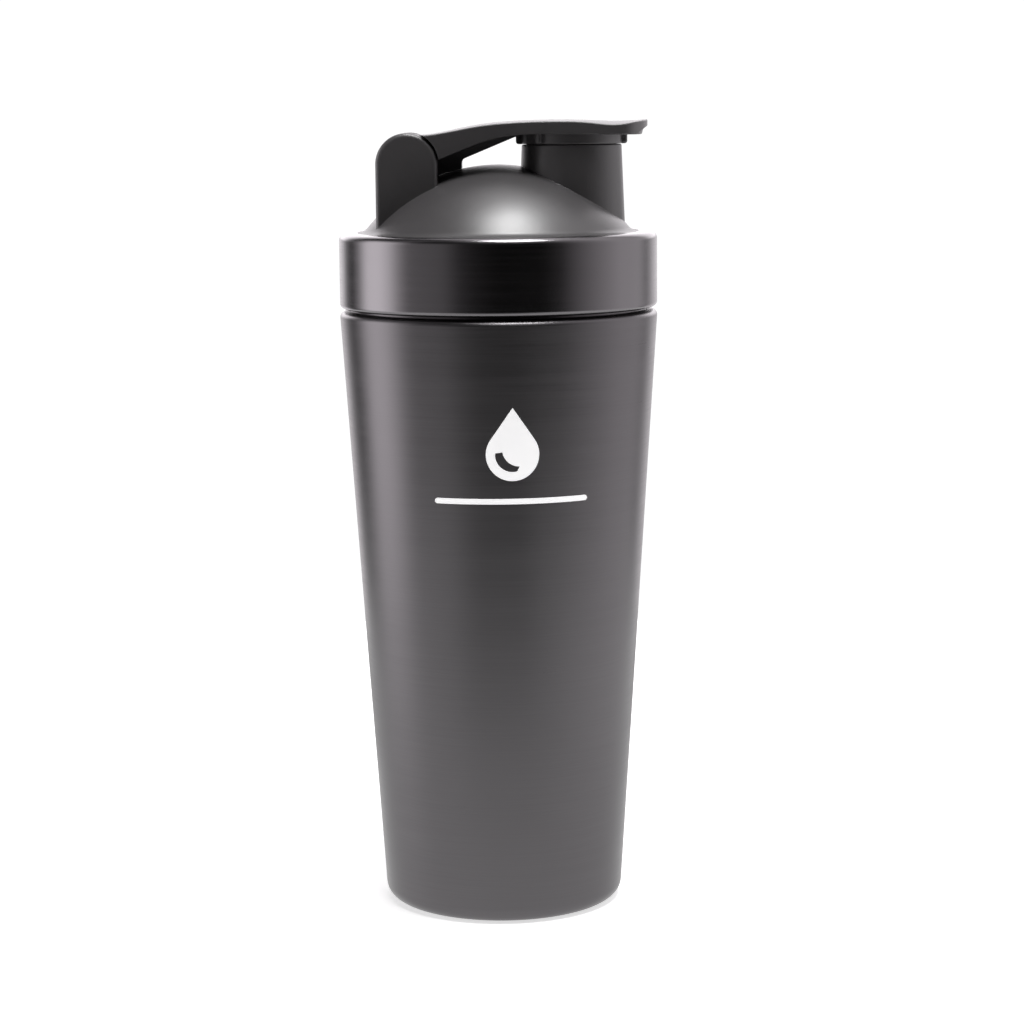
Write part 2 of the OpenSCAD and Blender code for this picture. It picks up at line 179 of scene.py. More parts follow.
class ShakerStudio(bpy.types.PropertyGroup):
    """The camera and the lights."""

    eye: bpy.props.FloatVectorProperty(name="Eye", description="Place of the camera", size=3,
                                       default=(0.0034, -0.8, 0.2352), subtype="XYZ", unit="LENGTH")
    pitch: number("Pitch", "How far the camera looks down", math.radians(8.4), subtype="ANGLE")
    roll: number("Roll", "Turn of the camera about its own axis", -0.0089, subtype="ANGLE")
    lens: number("Lens", "Focal length in millimetres", 94.7)
    room: number("Room light", "Strength of the light from the walls", 2.5, min=0)
    top_power: number("Top light", "Power of the softbox overhead", 9, unit="POWER")
    mirrored: number("Mirrored floor", "Brightness of the floor in reflections", 0.88, min=0)
    floor_radius: length("Floor radius", "Radius of the pale floor", 450)


# Outlines

def arc(x, z, radius, start, end, steps=12):
    """Points (x, z) on an arc about a centre, between two angles in degrees."""
    angles = [math.radians(start + (end - start) * i / steps) for i in range(steps + 1)]
    return [(x + radius * math.cos(a), z + radius * math.sin(a)) for a in angles]


def bow(a, b, c, d, steps=12):
    """Points on a smooth curve from a to d, with handles b and c, in millimetres."""
    points = []
    for i in range(steps + 1):
        t = i / steps
        s = 1 - t
        weights = (s * s * s, 3 * s * s * t, 3 * s * t * t, t * t * t)
        points.append(tuple(MM * sum(w * p[k] for w, p in zip(weights, (a, b, c, d))) for k in (0, 1)))
    return points


def rounded(corners, closed=False, steps=6):
    """Points (x, z) through corners (x, z, radius), where each radius above 0 becomes an arc."""
    points = []
    for i, (x, z, radius) in enumerate(corners):
        here = Vector((x, z))
        is_end = not closed and i in (0, len(corners) - 1)
        if radius == 0 or is_end:
            points.append((x, z))
            continue
        back = (Vector(corners[i - 1][:2]) - here).normalized()
        ahead = (Vector(corners[(i + 1) % len(corners)][:2]) - here).normalized()
        half = back.angle(ahead) / 2
        centre = here + (back + ahead).normalized() * radius / math.sin(half)
        first = here + back * radius / math.tan(half) - centre
        last = here + ahead * radius / math.tan(half) - centre
        turn = math.atan2(first.x * last.y - first.y * last.x, first.dot(last))
        for k in range(steps + 1):
            arm = Matrix.Rotation(turn * k / steps, 2) @ first
            points.append(tuple(centre + arm))
    return points


# Modelling steps

def make_active(obj):
    """Selects this object alone, in object mode."""
    if bpy.context.object and bpy.context.object.mode != "OBJECT":
        bpy.ops.object.mode_set(mode="OBJECT")
    bpy.ops.object.select_all(action="DESELECT")
    bpy.context.view_layer.objects.active = obj
    obj.select_set(True)


def edit(obj, kind, test):
    """Selects what passes the test, and every edge or face that lies between selected points, to edit it."""
    make_active(obj)
    mesh = obj.data
    for part in (mesh.vertices, mesh.edges, mesh.polygons):
        part.foreach_set("select", [False] * len(part))
    for item in getattr(mesh, {"VERT": "vertices", "EDGE": "edges", "FACE": "polygons"}[kind]):
        item.select = test(item)
    bpy.ops.object.mode_set(mode="EDIT")
    bpy.ops.mesh.select_mode(type=kind)


def done():
    """Closes the mesh that is being edited."""
    bpy.ops.object.mode_set(mode="OBJECT")


def apply_modifier(obj, kind, **settings):
    """Adds a modifier with these settings and applies it."""
    make_active(obj)
    bpy.ops.object.modifier_add(type=kind)
    modifier = obj.modifiers[-1]
    for name, value in settings.items():
        setattr(modifier, name, value)
    bpy.ops.object.modifier_apply(modifier=modifier.name)


def face_outwards(obj):
    """Merges doubled points and turns every face outwards."""
    edit(obj, "VERT", lambda v: True)
    bpy.ops.mesh.remove_doubles(threshold=0.002 * MM)
    bpy.ops.mesh.normals_make_consistent(inside=False)
    done()


def outline(name, points, y=0.0, fill=False, is_open=False):
    """A flat loop of edges through points (x, z): filled, left as a loop, or opened between its ends."""
    bpy.ops.object.select_all(action="DESELECT")
    bpy.ops.mesh.primitive_circle_add(vertices=len(points), radius=MM, location=(0, 0, 0))
    obj = bpy.context.object
    obj.name = name
    obj.data.name = name
    for vertex, (x, z) in zip(obj.data.vertices, points):
        vertex.co = (x, y, z)
    last = len(points) - 1
    if is_open:
        edit(obj, "EDGE", lambda e: set(e.vertices) == {0, last})
        bpy.ops.mesh.delete(type="EDGE")
        done()
    if fill:
        edit(obj, "EDGE", lambda e: True)
        bpy.ops.mesh.edge_face_add()
        done()
    return obj


def turned(name, points, is_open=True, steps=ROUND_STEPS, centre=CENTRE_LINE, turns=1.0, rise=0.0):
    """An open or a closed line turned about the upright through centre, or wound up it by rise."""
    obj = outline(name, points, is_open=is_open)
    apply_modifier(obj, "SCREW", axis="Z", angle=math.tau * turns, screw_offset=rise, steps=steps,
                   render_steps=steps, use_merge_vertices=rise == 0, merge_threshold=0.001 * MM)
    if rise != 0:
        edit(obj, "VERT", lambda v: True)
        bpy.ops.mesh.select_all(action="DESELECT")
        bpy.ops.mesh.select_non_manifold()
        bpy.ops.mesh.fill_holes(sides=0)
        done()
    face_outwards(obj)
    if centre != CENTRE_LINE:
        edit(obj, "VERT", lambda v: True)
        bpy.ops.transform.translate(value=(centre.x, centre.y, 0))
        done()
    return obj


def slab(name, points, y0, y1):
    """An outline in the XZ plane, extruded along Y."""
    obj = outline(name, points, y=y0, fill=True)
    edit(obj, "FACE", lambda f: True)
    bpy.ops.mesh.extrude_region_move(TRANSFORM_OT_translate={"value": (0, y1 - y0, 0)})
    done()
    face_outwards(obj)
    return obj


def rod(name, radius, y0, y1, edge=0.0):
    """A round bar along Y on the hinge line, with rounded ends."""
    obj = slab(name, arc(HINGE.x, HINGE.z, radius, 0, 360 - 360 / SMALL_STEPS, SMALL_STEPS - 1), y0, y1)
    if edge > 0:
        bevel(obj, lambda a, b: abs(a.y - b.y) < edge / 2, edge, 3)
    return obj


def ball(name, radius, z):
    """A finely divided sphere on the centre line, used for cutting."""
    bpy.ops.object.select_all(action="DESELECT")
    bpy.ops.mesh.primitive_uv_sphere_add(segments=ROUND_STEPS, ring_count=SMALL_STEPS,
                                         radius=radius, location=(0, 0, z))
    obj = bpy.context.object
    obj.name = name
    bpy.ops.object.transform_apply()
    return obj


def bevel(obj, test, width, segments, clamp=True):
    """Rounds the edges that edit() selects by their two ends, without overlap where clamp is set."""
    points = [v.co.copy() for v in obj.data.vertices]
    edit(obj, "EDGE", lambda e: test(points[e.vertices[0]], points[e.vertices[1]]))
    bpy.ops.mesh.bevel(offset=width, segments=segments, affect="EDGES", clamp_overlap=clamp)
    done()


def cut_up(obj, direction, places):
    """Cuts a mesh square to a direction at these distances, so that it can follow a curve."""
    edit(obj, "FACE", lambda f: True)
    for distance in places:
        bpy.ops.mesh.select_all(action="SELECT")
        bpy.ops.mesh.bisect(plane_co=Vector(direction) * distance, plane_no=direction)
    done()


def combine(obj, tool, operation):
    """Adds, cuts away or keeps only what tool covers, and removes the tool."""
    apply_modifier(obj, "BOOLEAN", operation=operation, solver="EXACT", object=tool)
    bpy.data.objects.remove(tool)


def join(obj, *others):
    """Joins other pieces into obj."""
    make_active(obj)
    for other in others:
        other.select_set(True)
    bpy.ops.object.join()


def finish_piece(obj, body, node_name, slot):
    """Shades a piece, gives it its material and body, and hides the plain node it stands for."""
    make_active(obj)
    bpy.ops.object.shade_smooth_by_angle(angle=SMOOTH_ANGLE)
    apply_modifier(obj, "WEIGHTED_NORMAL", mode="FACE_AREA", keep_sharp=True)
    obj.data.materials.clear()
    obj.data.materials.append(material_for(slot))
    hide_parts(node_name)
    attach(obj, body)


def thread(name, wall, side, height, start, turns, sizes):
    """A helical ridge on a wall, wound about the centre line, whose ends fade into the wall."""
    sunk = wall - side * sizes.sheet / 2
    crest = wall + side * sizes.thread_height
    half_root = sizes.thread_root / 2
    half_crest = sizes.thread_crest / 2
    points = rounded([(sunk, height - half_root, 0), (crest, height - half_crest, 0.3 * MM),
                      (crest, height + half_crest, 0.3 * MM), (sunk, height + half_root, 0)],
                     closed=True, steps=3)
    steps = int(ROUND_STEPS * turns)
    ridge = turned(name, points, is_open=False, steps=steps, turns=turns, rise=sizes.thread_lead * turns)
    fade = math.radians(30)
    for vertex in ridge.data.vertices:
        x, y, z = vertex.co
        angle = math.atan2(y, x) % math.tau
        total = math.tau * turns
        climbed = (z - height) / sizes.thread_lead * math.tau
        along = angle + math.tau * round((climbed - angle) / math.tau)
        keep = max(0.02, min(1, along / fade, (total - along) / fade))
        middle = height + sizes.thread_lead * along / math.tau
        radius = sunk + (math.hypot(x, y) - sunk) * keep
        turn = angle + math.radians(start)
        vertex.co = (radius * math.cos(turn), radius * math.sin(turn), middle + (z - middle) * keep)
    face_outwards(ridge)
    return ridge


def thicken(obj, sheet):
    """Makes a surface into sheet metal, on the side that its faces turn away from."""
    apply_modifier(obj, "SOLIDIFY", thickness=sheet, offset=-1, use_even_offset=True)


def turned_on_spout(name, points, steps):
    """A closed round solid about the spout's axis, with steps in the rounding of each corner."""
    return turned(name, rounded(points, steps=steps), steps=SMALL_STEPS, centre=SPOUT)


# Materials

def new_material(name):
    """An empty node material, with its tree and its surface shader."""
    material = bpy.data.materials.new(name)
    material.use_nodes = True
    return material, material.node_tree, material.node_tree.nodes["Principled BSDF"]


def node(tree, kind, inputs=None, **settings):
    """A shader node with these settings. An input is given a value, or linked where it is a socket."""
    made = tree.nodes.new("ShaderNode" + kind)
    for name, value in settings.items():
        setattr(made, name, value)
    for name, value in (inputs or {}).items():
        put(tree, made.inputs[name], value)
    return made


def put(tree, socket, value):
    """Gives a socket a value, or links another socket to it."""
    if isinstance(value, bpy.types.NodeSocket):
        tree.links.new(value, socket)
    else:
        socket.default_value = value


def maths(tree, operation, a, b=0.0):
    """The result of a sum on one or two values."""
    made = tree.nodes.new("ShaderNodeMath")
    made.operation = operation
    put(tree, made.inputs[0], a)
    put(tree, made.inputs[1], b)
    return made.outputs[0]


def spread(tree, value, low, high, from_low=0.3, from_high=0.7):
    """A value taken from one range to another."""
    return node(tree, "MapRange", {"Value": value, "From Min": from_low, "From Max": from_high,
                                   "To Min": low, "To Max": high}).outputs["Result"]


def tint(tree, value, colour_low, colour_high):
    """A colour between two, chosen by a value from 0 to 1."""
    mixed = node(tree, "Mix", data_type="RGBA")
    put(tree, mixed.inputs["Factor"], value)
    put(tree, mixed.inputs[6], (*colour_low, 1))
    put(tree, mixed.inputs[7], (*colour_high, 1))
    return mixed.outputs[2]


def place(tree):
    """The place of a point in the frame."""
    return node(tree, "TexCoord").outputs["Object"]


def noise(tree, where, scale, detail=2.0, roughness=0.5):
    """Noise at places, with a scale in cells per metre."""
    return node(tree, "TexNoise", {"Vector": where, "Scale": scale, "Detail": detail,
                                   "Roughness": roughness}).outputs[0]


def place_parts(tree):
    """The three parts of a point's place, and its distance from the vertical axis."""
    parts = node(tree, "SeparateXYZ", {"Vector": place(tree)}).outputs
    across = maths(tree, "POWER", parts[0], 2)
    deep = maths(tree, "POWER", parts[1], 2)
    return parts, maths(tree, "SQRT", maths(tree, "ADD", across, deep))


def rings(tree, fineness, drift):
    """Places stretched so that noise runs in fine lines round the vertical axis."""
    parts, radius = place_parts(tree)
    climb = maths(tree, "MULTIPLY", maths(tree, "ADD", parts[2], radius), fineness)
    return node(tree, "CombineXYZ", {"X": maths(tree, "MULTIPLY", parts[0], drift),
                                     "Y": maths(tree, "MULTIPLY", parts[1], drift), "Z": climb}).outputs[0]


def shade(colour_in, factor):
    """A colour made lighter or darker."""
    return tuple(min(1, c * factor) for c in colour_in)


def mottle(tree, shader, value, base, low, high):
    """Varies the base colour with a value, from its low share to its high one."""
    put(tree, shader.inputs["Base Color"],
        tint(tree, spread(tree, value, 0, 1), shade(base, low), shade(base, high)))


def emboss(tree, shader, height, strength, depth, **inputs):
    """Raises the surface with a height."""
    made = node(tree, "Bump", {"Height": height, "Strength": strength, "Distance": depth * MM, **inputs})
    put(tree, shader.inputs["Normal"], made.outputs[0])


def brushed_metal(name, base, roughness, streak, bump, anisotropy):
    """Steel brushed in fine lines round the bottle, bare or under a thin dark coating."""
    material, tree, shader = new_material(name)
    fine = noise(tree, rings(tree, 3800, 30), 1, detail=3, roughness=0.65)
    broad = noise(tree, rings(tree, 260, 14), 1, detail=2)
    cloud = noise(tree, place(tree), 24, detail=3)
    lines = maths(tree, "ADD", maths(tree, "MULTIPLY", fine, 0.7), maths(tree, "MULTIPLY", broad, 0.3))
    mottle(tree, shader, lines, base, 1 - streak, 1 + streak)
    rough = maths(tree, "ADD", spread(tree, lines, roughness - 0.05, roughness + 0.05),
                  spread(tree, cloud, -0.02, 0.02))
    put(tree, shader.inputs["Roughness"], rough)
    shader.inputs["Metallic"].default_value = 1
    shader.inputs["Anisotropic"].default_value = anisotropy
    shader.inputs["Anisotropic Rotation"].default_value = 0.25
    put(tree, shader.inputs["Tangent"], node(tree, "Tangent", direction_type="RADIAL", axis="Z").outputs[0])
    emboss(tree, shader, lines, bump, 0.02)
    return material


def moulded_plastic(finishes):
    """Black plastic with the fine even grain of a spark-eroded mould."""
    material, tree, shader = new_material("Moulded_black_plastic")
    where = place(tree)
    grain = noise(tree, where, 2600, detail=2, roughness=0.6)
    pebble = noise(tree, where, 900, detail=1)
    cloud = noise(tree, where, 35, detail=3)
    mottle(tree, shader, cloud, finishes.plastic, 0.92, 1.1)
    rough = maths(tree, "ADD", spread(tree, grain, finishes.plastic_roughness - 0.04,
                                      finishes.plastic_roughness + 0.05), spread(tree, cloud, -0.02, 0.02))
    put(tree, shader.inputs["Roughness"], rough)
    shader.inputs["Specular IOR Level"].default_value = 1
    soft_edges = node(tree, "Bevel", {"Radius": 0.35 * MM}, samples=4).outputs[0]
    height = maths(tree, "ADD", grain, maths(tree, "MULTIPLY", pebble, 0.6))
    emboss(tree, shader, height, 0.30, 0.05, Normal=soft_edges)
    return material


def soft_silicone(finishes):
    """Matt silicone with a faint dusty bloom."""
    material, tree, shader = new_material("Black_silicone")
    where = place(tree)
    dust = noise(tree, where, 700, detail=4)
    cloud = noise(tree, where, 60, detail=2)
    mottle(tree, shader, dust, finishes.silicone, 0.85, 1.35)
    put(tree, shader.inputs["Roughness"], spread(tree, cloud, 0.52, 0.66))
    shader.inputs["Sheen Weight"].default_value = 0.15
    emboss(tree, shader, dust, 0.12, 0.05)
    return material


def printed_ink(finishes):
    """Opaque white ink, a little uneven from its screen, with a faint painted glow that makes it brighter
    than its lighting does.
    """
    material, tree, shader = new_material("White_ink")
    where = place(tree)
    screen = noise(tree, where, 1800, detail=2)
    cloud = noise(tree, where, 120, detail=2)
    mottle(tree, shader, cloud, finishes.ink, 0.97, 1.02)
    put(tree, shader.inputs["Roughness"], spread(tree, screen, 0.42, 0.52))
    # Painted light: the ink glows a little, as if lit more brightly, though it is no lamp.
    shader.inputs["Emission Color"].default_value = (1, 1, 1, 1)
    shader.inputs["Emission Strength"].default_value = 0.3
    emboss(tree, shader, screen, 0.08, 0.02)
    return material


def coat_material(finishes):
    """The brushed dark coating of the cup."""
    return brushed_metal("Brushed_dark_coat", finishes.coat, finishes.cup_roughness, 0.07, 0.35, 0.6)


def band_material(finishes):
    """The same coating, smoother, on the lid's band."""
    return brushed_metal("Smooth_dark_coat", finishes.band_coat, finishes.band_roughness,
                         0.03, 0.12, 0.45)


def steel_material(finishes):
    """Bare brushed steel."""
    return brushed_metal("Bare_brushed_steel", finishes.steel, 0.27, 0.06, 0.25, 0.6)


SURFACES = {"cup_coating": ("Brushed_dark_coat", coat_material),
            "band_coating": ("Smooth_dark_coat", band_material),
            "bare_steel": ("Bare_brushed_steel", steel_material),
            "black_plastic": ("Moulded_black_plastic", moulded_plastic),
            "silicone": ("Black_silicone", soft_silicone)}


def material_for(slot):
    """The material of a slot, built the first time it is asked for."""
    name, build = SURFACES[slot]
    return bpy.data.materials.get(name) or build(bpy.context.scene.shaker_finishes)


# Pieces

def cup_slope(sizes):
    """Growth of the cup's radius for its height."""
    return (CUP[1].x - sizes.base_radius) / (sizes.shoulder_height - sizes.foot_edge)


def cup_radius(sizes, z):
    """Outer radius of the cup's cone at a height."""
    return sizes.base_radius + cup_slope(sizes) * (z - sizes.foot_edge)


class SHAKER_OT_cup_wall(bpy.types.Operator):
    """Outer wall of the cup: rolled foot, cone, shoulder and threaded neck"""

    bl_idname = "shaker.cup_wall"
    bl_label = "Cup wall"

    def execute(self, context):
        sizes = context.scene.shaker_cup
        neck = LINER[1].x
        flat = sizes.base_radius - sizes.foot_edge
        curl = flat - sizes.foot_flat - sizes.foot_curl
        shoulder = sizes.shoulder_height + sizes.shoulder_edge
        wall = turned("cup_wall", rounded([
            (curl, PLATE[1].z, 0),
            (curl, 0, sizes.foot_curl),
            (cup_radius(sizes, 0), 0, sizes.foot_edge),
            (cup_radius(sizes, shoulder), shoulder, sizes.shoulder_edge),
            (neck, shoulder, sizes.neck_fillet),
            (neck, CUP[1].z, 0)], steps=10))
        thicken(wall, sizes.sheet)
        ridge = thread("neck_thread", neck, 1, sizes.neck_thread_height, 0, 1, sizes)
        join(wall, ridge)
        finish_piece(wall, "cup", "outer_cup", "cup_coating")
        return {"FINISHED"}


class SHAKER_OT_liner(bpy.types.Operator):
    """Inner wall of the cup, with its floor and the rim rolled over the neck"""

    bl_idname = "shaker.liner"
    bl_label = "Inner liner"

    def execute(self, context):
        sizes = context.scene.shaker_cup
        drop = 2 * sizes.sheet + sizes.wall_gap
        floor = LINER[0].z + sizes.sheet
        mouth = LINER[1].x - 2 * sizes.sheet - 0.05 * MM
        top = LINER[1].z
        liner = turned("inner_wall", rounded([
            (0, floor, 0),
            (cup_radius(sizes, floor) - drop, floor, sizes.floor_edge),
            (CUP[1].x - drop, sizes.shoulder_height, 1 * MM),
            (mouth, sizes.shoulder_height + 4 * MM, 1 * MM),
            (mouth, top, sizes.sheet),
            (LINER[1].x, top, 0)], steps=10))
        thicken(liner, sizes.sheet)
        finish_piece(liner, "cup", "inner_liner", "bare_steel")
        return {"FINISHED"}


class SHAKER_OT_base(bpy.types.Operator):
    """Pressed disc that closes the foot, with a stepped ring, and the plug in its middle"""

    bl_idname = "shaker.base"
    bl_label = "Base plate and plug"

    def execute(self, context):
        sizes = context.scene.shaker_cup
        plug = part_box("vacuum_seal")
        low, high = PLATE[0].z, PLATE[1].z
        edge = PLATE[1].x
        step = 0.35 * MM
        plate = turned("base_disc", rounded([
            (1.2 * MM, low + step, 0),
            (edge - 8 * MM, low + step, 0.5 * MM),
            (edge - 7 * MM, low, 0.5 * MM),
            (edge, low, 1.2 * MM),
            (edge, high, 0)]))
        thicken(plate, sizes.sheet)
        finish_piece(plate, "cup", "base_plate", "cup_coating")
        head = plug[1].x
        bead = turned("sealing_plug", rounded([
            (0, plug[0].z, 0),
            (head, plug[0].z, 0.35 * MM),
            (head, plug[0].z + 0.8 * MM, 0.15 * MM),
            (1.1 * MM, plug[0].z + 0.8 * MM, 0),
            (1.1 * MM, plug[1].z, 0.2 * MM),
            (0, plug[1].z, 0)]), steps=SMALL_STEPS)
        finish_piece(bead, "cup", "vacuum_seal", "bare_steel")
        return {"FINISHED"}


class SHAKER_OT_print(bpy.types.Operator):
    """Ink of the printed drop and line"""

    bl_idname = "shaker.print"
    bl_label = "Printed mark"

    def execute(self, context):
        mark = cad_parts["printed_mark"]
        mark.data.materials.clear()
        mark.data.materials.append(printed_ink(context.scene.shaker_finishes))
        return {"FINISHED"}


class SHAKER_OT_gasket(bpy.types.Operator):
    """Seal between the cup's rim and the lid"""

    bl_idname = "shaker.gasket"
    bl_label = "Lid gasket"

    def execute(self, context):
        scene = context.scene
        outer = GASKET[1].x
        inner = LINER[1].x - 2 * scene.shaker_cup.sheet - 0.7 * MM
        edge = 0.35 * MM
        low, high = GASKET[0].z, GASKET[1].z
        ring = turned("seal_ring", rounded([
            (inner, low, edge), (outer, low, edge), (outer, high, edge), (inner, high, edge)],
            closed=True), is_open=False)
        finish_piece(ring, "gasket", "lid_gasket", "silicone")
        return {"FINISHED"}


class SHAKER_OT_band(bpy.types.Operator):
    """Steel band of the lid: shelf, rounded edge, straight side and rolled hem"""

    bl_idname = "shaker.band"
    bl_label = "Lid band"

    def execute(self, context):
        lid = context.scene.shaker_lid
        sheet = context.scene.shaker_cup.sheet
        outer, low, shelf = BAND[1].x, BAND[0].z, BAND[1].z
        points = arc(outer - lid.hem, low + lid.hem, lid.hem, 230, 360, 14)
        points += arc(outer - lid.band_edge, shelf - lid.band_edge, lid.band_edge, 0, 90)
        points += [(dome_foot_radius(lid) + lid.slip, shelf)]
        band = turned("lid_ring", points)
        thicken(band, sheet)
        finish_piece(band, "band", "lid_band", "band_coating")
        return {"FINISHED"}


def dome_foot_radius(lid):
    """Radius where the hollow curve round the dome runs out on the band's shelf."""
    rise = BAND[1].z + lid.dome_foot - (lid.dome_top - lid.dome_radius)
    return math.sqrt((lid.dome_radius + lid.dome_foot) ** 2 - rise ** 2)


def lid_shell(lid, cup):
    """Dome, flange and skirt of the lid, turned in one piece."""
    shelf = BAND[1].z
    centre = lid.dome_top - lid.dome_radius
    inside = lid.dome_radius - lid.plastic
    foot = dome_foot_radius(lid)
    foot_angle = math.degrees(math.atan2(shelf + lid.dome_foot - centre, foot))
    flange_top = shelf - cup.sheet - lid.slip
    flange_edge = lid.band_edge - cup.sheet - lid.slip
    flange = GASKET[1].z + 0.1 * MM
    outer, low = LID[1].x, LID[0].z
    bore = LINER[1].x + cup.thread_height + 0.4 * MM
    locating = LINER[1].x - 2 * cup.sheet - 0.85 * MM
    locating_in = locating - 1.6 * MM
    tongue = LINER[1].z - 3 * MM
    points = arc(0, centre, lid.dome_radius, 90, foot_angle, 48)
    points += arc(foot, shelf + lid.dome_foot, lid.dome_foot, 180 + foot_angle, 270, 8)
    points += [(foot, flange_top)]
    points += arc(outer - flange_edge, flange_top - flange_edge, flange_edge, 90, 0, 6)
    points += rounded([(outer, low, 0.4 * MM), (bore, low, 0.4 * MM), (bore, flange, 0.3 * MM),
                       (locating, flange, 0.3 * MM), (locating, tongue, 0.5 * MM),
                       (locating_in, tongue, 0.5 * MM), (locating_in, flange, 0)], closed=True, steps=4)
    flange_angle = math.degrees(math.asin((flange - centre) / inside))
    points += arc(0, centre, inside, flange_angle, 90, 32)
    return turned("lid_moulding", points), centre


def hinge_ear(name, lid, y0, y1):
    """One round-topped ear that carries the hinge pin, with a softened rim."""
    radius = LID[1].z - HINGE.z
    points = arc(HINGE.x, HINGE.z, radius, 0, 180, 40)
    points += [(HINGE.x - radius, BAND[1].z), (HINGE.x + radius, BAND[1].z)]
    ear = slab(name, points, y0, y1)
    low = BAND[1].z + MM
    near = 0.01 * MM
    for side in (y0, y1):
        bevel(ear, lambda a, b: max(abs(a.y - side), abs(b.y - side)) < near and max(a.z, b.z) > low,
              lid.ear_edge, 6, clamp=False)
    return ear


def spout_tube(lid):
    """The spout's wall, shoulder and rim, drafted outwards towards its foot."""
    low = BAND[1].z
    foot = lid.spout_radius + lid.spout_growth * (lid.spout_shoulder - low)
    return turned_on_spout("spout", [
        (0, low, 0),
        (foot, low, 0),
        (lid.spout_radius, lid.spout_shoulder, 0.35 * MM),
        (lid.spout_lip, lid.spout_shoulder, 0.3 * MM),
        (lid.spout_lip, lid.spout_rim, 0.5 * MM),
        (0, lid.spout_rim, 0)], 4)


class SHAKER_OT_lid(bpy.types.Operator):
    """Plastic lid in one moulding: dome, spout, hinge ears and threaded skirt"""

    bl_idname = "shaker.lid"
    bl_label = "Lid moulding"

    def execute(self, context):
        lid = context.scene.shaker_lid
        cup = context.scene.shaker_cup
        moulding, centre = lid_shell(lid, cup)
        half = CAP[1].y
        ear_in = half - lid.ear_thickness
        added = [hinge_ear("ear_front", lid, -half, -ear_in), hinge_ear("ear_rear", lid, ear_in, half),
                 spout_tube(lid)]
        for piece in added:
            combine(piece, ball("hollow", lid.dome_radius - lid.plastic / 2, centre), "DIFFERENCE")
            combine(moulding, piece, "UNION")
        low = BAND[1].z + MM
        over = lid.spout_rim + 0.1 * MM
        bore = turned_on_spout("bore", [
            (0, low, 0),
            (lid.spout_bore, low, 0),
            (lid.spout_bore, lid.spout_rim - 0.4 * MM, 0),
            (lid.spout_bore + 0.5 * MM, over, 0),
            (0, over, 0)], 6)
        combine(moulding, bore, "DIFFERENCE")
        combine(moulding, rod("pin_hole", (PIN[1].z - PIN[0].z) / 2, PIN[0].y, half + MM), "DIFFERENCE")
        skirt = LINER[1].x + cup.thread_height + 0.4 * MM
        ridge = thread("skirt_thread", skirt, -1, cup.neck_thread_height - cup.thread_lead / 4, 90, 0.75, cup)
        join(moulding, ridge)
        finish_piece(moulding, "lid", "lid_dome", "black_plastic")
        return {"FINISHED"}


class SHAKER_OT_pin(bpy.types.Operator):
    """Steel pin of the hinge"""

    bl_idname = "shaker.pin"
    bl_label = "Hinge pin"

    def execute(self, context):
        pin = rod("steel_pin", (PIN[1].z - PIN[0].z) / 2, PIN[0].y, PIN[1].y, 0.3 * MM)
        finish_piece(pin, "lid", "hinge_pin", "bare_steel")
        return {"FINISHED"}


def arm_top(drop=0.0):
    """Upper line of the flip cap from its hinge to its tip, lowered by drop."""
    start = HINGE.z / MM + 8.4
    points = [(HINGE.x, start * MM)]
    points += bow((-24, start), (-17, 229.2), (-10, 232.6), (3, 233.2), 16)
    points += bow((3, 233.2), (12, 233.8), (22, 233.7), (34, 233.1), 16)[1:]
    points += bow((34, 233.1), (38, 233.1), (41, 233.2), (CAP[1].x / MM, 233.5), 8)[1:]
    return [(x, z - drop) for x, z in points]


def arm_low():
    """Lower line of the arm's side ribs, from its hinge to the undercut below its tip."""
    tip = CAP[1].x
    points = [(HINGE.x, 220 * MM)]
    points += bow((-17.2, 222.3), (-6, 226.6), (-2, 229.4), (12, 229.5), 16)
    return points + [(tip - 3.9 * MM, 229.3 * MM), (tip - 0.2 * MM, 231.6 * MM), (tip, 231.8 * MM)]


def arm_plan(rear, tip, half, tip_length):
    """A bar seen from above, from its square rear to its rounded tip."""
    points = [(tip + (x - 1) * tip_length, y * half) for x, y in arc(0, 0, 1, -90, 90, 48)]
    return points + [(rear, half), (rear, -half)]


def height_on(line, x):
    """Height of a line of points at x."""
    for (x0, z0), (x1, z1) in zip(line, line[1:]):
        if x0 <= x <= x1:
            return z0 + (z1 - z0) * (x - x0) / (x1 - x0)
    return line[0][1] if x < line[0][0] else line[-1][1]


def cap_arm(sizes):
    """The arched arm: a flat bar with a rounded upper rim, cut up and moved to its upper and lower lines."""
    depth = 5 * MM
    step = 1.2 * MM
    arm = slab("cap_arm", arm_plan(HINGE.x, CAP[1].x, CAP[1].y, sizes.tip_length), -depth, 0)
    lay_flat(arm, 0)
    rear = HINGE.x + step / 2
    bevel(arm, lambda a, b: min(a.z, b.z) > -step and max(a.x, b.x) > rear, sizes.edge, 5, clamp=False)
    cut_up(arm, (1, 0, 0), [HINGE.x + step * (i + 1) for i in range(int((CAP[1].x - HINGE.x) / step))])
    cut_up(arm, (0, 1, 0), [side * y * MM for side in (-1, 1) for y in ARM_CUTS])
    top = arm_top()
    low = arm_low()
    for vertex in arm.data.vertices:
        x, y, z = vertex.co
        if z > -depth / 2:
            nearness = math.exp(-((x - sizes.sink_place) / sizes.sink_reach) ** 2)
            crown = sizes.crown * min(1, (x - HINGE.x) / (15 * MM)) + sizes.sink * nearness
            vertex.co.z = z + height_on(top, x) - crown * (y / CAP[1].y) ** 2
        else:
            vertex.co.z = height_on(low, x)
    face_outwards(arm)
    return arm


